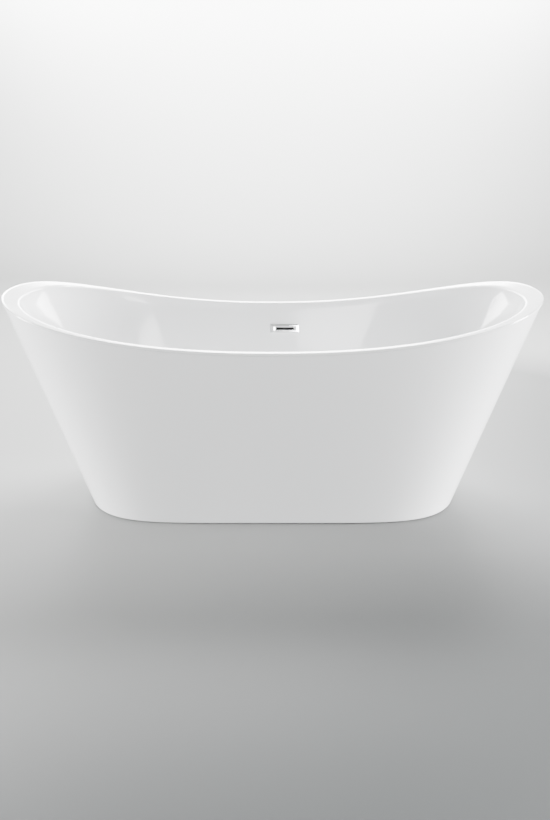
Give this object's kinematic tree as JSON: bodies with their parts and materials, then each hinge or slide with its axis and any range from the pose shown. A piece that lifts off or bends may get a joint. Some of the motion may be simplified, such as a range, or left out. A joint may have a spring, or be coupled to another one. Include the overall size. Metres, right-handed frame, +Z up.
{
  "type": "freestanding bathtub",
  "caption": "Freestanding double-slipper bathtub with a saddle rim, tapered skirt, slotted overflow, press-to-close drain and levelling feet on a steel frame.",
  "frame": {"origin": "on the ground under the middle of the rim", "axes": "+X along the tub, +Y towards the side with the overflow, +Z up"},
  "size_m": [1.7, 0.8, 0.71],
  "materials": {
    "white_acrylic": "polished",
    "chrome": "mirror polished",
    "frame_paint": "satin paint",
    "zinc_steel": "zinc plated",
    "plywood": "raw",
    "pad_plastic": "moulded",
    "brass": "turned",
    "spring_steel": "drawn wire",
    "rubber": "matt",
    "waste_plastic": "moulded",
    "hose_plastic": "flexible, ribbed"
  },
  "bodies": {
    "tub": {"basin": "white_acrylic", "outer_skirt": "white_acrylic", "floor_board": "plywood", "frame_rail_front": "frame_paint", "frame_rail_back": "frame_paint", "cross_member_1": "frame_paint", "cross_member_2": "frame_paint", "cross_member_3": "frame_paint", "cross_member_4": "frame_paint", "skirt_strap_front_left": "zinc_steel", "skirt_strap_front_right": "zinc_steel", "skirt_strap_back_left": "zinc_steel", "skirt_strap_back_right": "zinc_steel", "foot_bracket_front_left": "frame_paint", "foot_nut_front_left": "zinc_steel", "foot_bracket_front_middle": "frame_paint", "foot_nut_front_middle": "zinc_steel", "foot_bracket_front_right": "frame_paint", "foot_nut_front_right": "zinc_steel", "foot_bracket_back_left": "frame_paint", "foot_nut_back_left": "zinc_steel", "foot_bracket_back_middle": "frame_paint", "foot_nut_back_middle": "zinc_steel", "foot_bracket_back_right": "frame_paint", "foot_nut_back_right": "zinc_steel", "drain_flange": "chrome", "drain_gasket": "rubber", "waste_tee": "waste_plastic", "slip_nut": "waste_plastic", "tailpiece": "brass", "stopper_sleeve": "brass", "stopper_spring": "spring_steel", "overflow_cover": "chrome", "overflow_gasket": "rubber", "overflow_housing": "waste_plastic", "overflow_screw_left": "zinc_steel", "overflow_screw_right": "zinc_steel", "overflow_hose": "hose_plastic", "hose_clamp_low": "zinc_steel", "hose_clamp_high": "zinc_steel"},
    "stopper": {"stopper_cap": "chrome", "stopper_seal": "rubber", "stopper_stem": "brass"},
    "pad_front_left": {"foot_pad_front_left": "pad_plastic"},
    "stud_front_left": {"foot_stud_front_left": "zinc_steel"},
    "pad_front_middle": {"foot_pad_front_middle": "pad_plastic"},
    "stud_front_middle": {"foot_stud_front_middle": "zinc_steel"},
    "pad_front_right": {"foot_pad_front_right": "pad_plastic"},
    "stud_front_right": {"foot_stud_front_right": "zinc_steel"},
    "pad_back_left": {"foot_pad_back_left": "pad_plastic"},
    "stud_back_left": {"foot_stud_back_left": "zinc_steel"},
    "pad_back_middle": {"foot_pad_back_middle": "pad_plastic"},
    "stud_back_middle": {"foot_stud_back_middle": "zinc_steel"},
    "pad_back_right": {"foot_pad_back_right": "pad_plastic"},
    "stud_back_right": {"foot_stud_back_right": "zinc_steel"}
  },
  "joints": [
    {"name": "foot_slide_front_left", "type": "slide", "parent": "tub", "child": "pad_front_left", "axis": [0, 0, -1], "range_m": [-0.003, 0.02]},
    {"name": "foot_turn_front_left", "type": "hinge", "parent": "pad_front_left", "child": "stud_front_left", "pos_m": [-0.46, -0.1725, 0.06], "axis": [0, 0, -1], "range_deg": [-618.1, 4115.3]},
    {"name": "foot_slide_front_middle", "type": "slide", "parent": "tub", "child": "pad_front_middle", "axis": [0, 0, -1], "range_m": [-0.003, 0.02]},
    {"name": "foot_turn_front_middle", "type": "hinge", "parent": "pad_front_middle", "child": "stud_front_middle", "pos_m": [0, -0.1725, 0.06], "axis": [0, 0, -1], "range_deg": [-618.1, 4115.3]},
    {"name": "foot_slide_front_right", "type": "slide", "parent": "tub", "child": "pad_front_right", "axis": [0, 0, -1], "range_m": [-0.003, 0.02]},
    {"name": "foot_turn_front_right", "type": "hinge", "parent": "pad_front_right", "child": "stud_front_right", "pos_m": [0.46, -0.1725, 0.06], "axis": [0, 0, -1], "range_deg": [-618.1, 4115.3]},
    {"name": "foot_slide_back_left", "type": "slide", "parent": "tub", "child": "pad_back_left", "axis": [0, 0, -1], "range_m": [-0.003, 0.02]},
    {"name": "foot_turn_back_left", "type": "hinge", "parent": "pad_back_left", "child": "stud_back_left", "pos_m": [-0.46, 0.1725, 0.06], "axis": [0, 0, -1], "range_deg": [-618.1, 4115.3]},
    {"name": "foot_slide_back_middle", "type": "slide", "parent": "tub", "child": "pad_back_middle", "axis": [0, 0, -1], "range_m": [-0.003, 0.02]},
    {"name": "foot_turn_back_middle", "type": "hinge", "parent": "pad_back_middle", "child": "stud_back_middle", "pos_m": [0, 0.1725, 0.06], "axis": [0, 0, -1], "range_deg": [-618.1, 4115.3]},
    {"name": "foot_slide_back_right", "type": "slide", "parent": "tub", "child": "pad_back_right", "axis": [0, 0, -1], "range_m": [-0.003, 0.02]},
    {"name": "foot_turn_back_right", "type": "hinge", "parent": "pad_back_right", "child": "stud_back_right", "pos_m": [0.46, 0.1725, 0.06], "axis": [0, 0, -1], "range_deg": [-618.1, 4115.3]},
    {"name": "stopper_press", "type": "slide", "parent": "tub", "child": "stopper", "axis": [0, 0, -1], "range_m": [0, 0.008], "stiffness_N_per_m": 500, "springref_m": -0.008, "deforming": ["stopper_spring"]}
  ],
  "couplings": [
    {"joint": "foot_turn_front_left", "follows": "foot_slide_front_left", "rad_per_m": 3590.4},
    {"joint": "foot_turn_front_middle", "follows": "foot_slide_front_middle", "rad_per_m": 3590.4},
    {"joint": "foot_turn_front_right", "follows": "foot_slide_front_right", "rad_per_m": 3590.4},
    {"joint": "foot_turn_back_left", "follows": "foot_slide_back_left", "rad_per_m": 3590.4},
    {"joint": "foot_turn_back_middle", "follows": "foot_slide_back_middle", "rad_per_m": 3590.4},
    {"joint": "foot_turn_back_right", "follows": "foot_slide_back_right", "rad_per_m": 3590.4}
  ]
}
